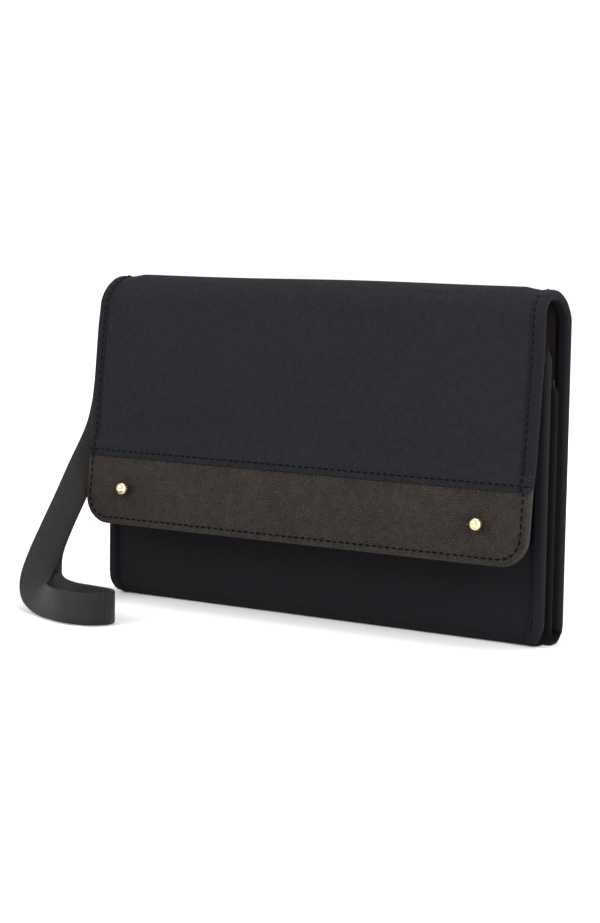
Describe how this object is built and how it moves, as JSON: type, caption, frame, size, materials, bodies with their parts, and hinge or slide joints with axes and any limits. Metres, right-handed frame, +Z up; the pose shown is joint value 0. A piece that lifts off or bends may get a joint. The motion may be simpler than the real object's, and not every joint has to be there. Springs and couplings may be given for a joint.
{
  "type": "passport holder wallet",
  "caption": "Flat folding travel wallet with a snap-down flap over the top, a front panel that folds up from the bottom, inner passport and card pockets and a wrist strap.",
  "frame": {"origin": "on the ground under the middle of the closed wallet, strap left out", "axes": "+X across the wallet, +Y towards its back, +Z up; the flap faces -Y"},
  "size_m": [0.219, 0.0899, 0.132],
  "materials": {
    "twill": "dark navy twill, fine diagonal ribs",
    "plain_cloth": "dark plain-woven nylon",
    "binding": "folded woven edge tape",
    "leather": "smooth brown-black leather, fine grain",
    "lining": "brown-black woven lining",
    "webbing": "ribbed flat webbing",
    "board": "pressed fibre board",
    "film": "metallised film",
    "gold": "polished gold plating",
    "zip_metal": "dark plated metal",
    "zip_nylon": "black nylon"
  },
  "bodies": {
    "back": {"back_binding_left": "binding", "back_binding_right": "binding", "back_blocking_film": "film", "back_board": "board", "back_lining": "lining", "back_outer_cloth": "plain_cloth", "bottom_fold": "plain_cloth", "card_pocket_1": "lining", "card_pocket_2": "lining", "card_pocket_3": "lining", "strap_anchor_tab": "webbing", "wrist_strap": "webbing"},
    "top_strip_1": {"top_fold_1": "twill"},
    "top_strip_2": {"top_fold_2": "twill"},
    "top_strip_3": {"top_fold_3": "twill"},
    "flap": {"flap_binding_left": "twill", "flap_binding_right": "twill", "flap_blocking_film": "film", "flap_board": "board", "flap_leather_band": "leather", "flap_lining": "lining", "flap_twill": "twill", "snap_cap_left": "gold", "snap_cap_right": "gold", "snap_socket_left": "gold", "snap_socket_right": "gold"},
    "front_panel": {"coin_pocket_face": "plain_cloth", "coin_pocket_floor": "plain_cloth", "coin_pocket_top_strip": "plain_cloth", "coin_pocket_wall_left": "plain_cloth", "coin_pocket_wall_right": "plain_cloth", "front_binding_left": "binding", "front_binding_right": "binding", "front_binding_top": "binding", "front_blocking_film": "film", "front_board": "board", "front_lining": "lining", "front_outer_cloth": "plain_cloth", "passport_pocket_binding_left": "binding", "passport_pocket_binding_right": "binding", "passport_pocket_sheet": "lining", "passport_pocket_wall_left": "lining", "passport_pocket_wall_right": "lining", "snap_back_plate_left": "gold", "snap_back_plate_right": "gold", "snap_post_left": "gold", "snap_post_right": "gold", "zip_coil": "zip_nylon", "zip_stop_left": "zip_metal", "zip_stop_right": "zip_metal", "zip_tape_lower": "zip_nylon", "zip_tape_upper": "zip_nylon"},
    "zip_slider": {"zip_slider": "zip_metal"},
    "zip_pull": {"zip_pull": "zip_metal"}
  },
  "joints": [
    {"name": "top_fold_hinge_1", "type": "hinge", "parent": "back", "child": "top_strip_1", "pos_m": [0, 0.01685, 0.12433], "axis": [-1, 0, 0], "range_deg": [0, 43.5]},
    {"name": "top_fold_hinge_2", "type": "hinge", "parent": "top_strip_1", "child": "top_strip_2", "pos_m": [0, 0.01094, 0.13055], "axis": [-1, 0, 0], "range_deg": [0, 43.5]},
    {"name": "top_fold_hinge_3", "type": "hinge", "parent": "top_strip_2", "child": "top_strip_3", "pos_m": [0, 0.00237, 0.131], "axis": [-1, 0, 0], "range_deg": [0, 43.5]},
    {"name": "top_fold_hinge_4", "type": "hinge", "parent": "top_strip_3", "child": "flap", "pos_m": [0, -0.00415, 0.12543], "axis": [-1, 0, 0], "range_deg": [0, 43.5]},
    {"name": "front_panel_hinge", "type": "hinge", "parent": "back", "child": "front_panel", "pos_m": [0, 0.00145, 0.001], "axis": [1, 0, 0], "range_deg": [0, 35.01]},
    {"name": "zip_slide", "type": "slide", "parent": "front_panel", "child": "zip_slider", "axis": [-1, 0, 0], "range_m": [0, 0.15]},
    {"name": "zip_pull_swing", "type": "hinge", "parent": "zip_slider", "child": "zip_pull", "pos_m": [0.0755, -0.00221, 0.086], "axis": [0, -0.9945, 0.1045], "range_deg": [-75, 75]}
  ],
  "couplings": [
    {"joint": "top_fold_hinge_2", "follows": "top_fold_hinge_1", "ratio": 1},
    {"joint": "top_fold_hinge_3", "follows": "top_fold_hinge_1", "ratio": 1},
    {"joint": "top_fold_hinge_4", "follows": "top_fold_hinge_1", "ratio": 1},
    {"joint": "front_panel_hinge", "follows": "top_fold_hinge_1", "ratio": 0.8046}
  ]
}
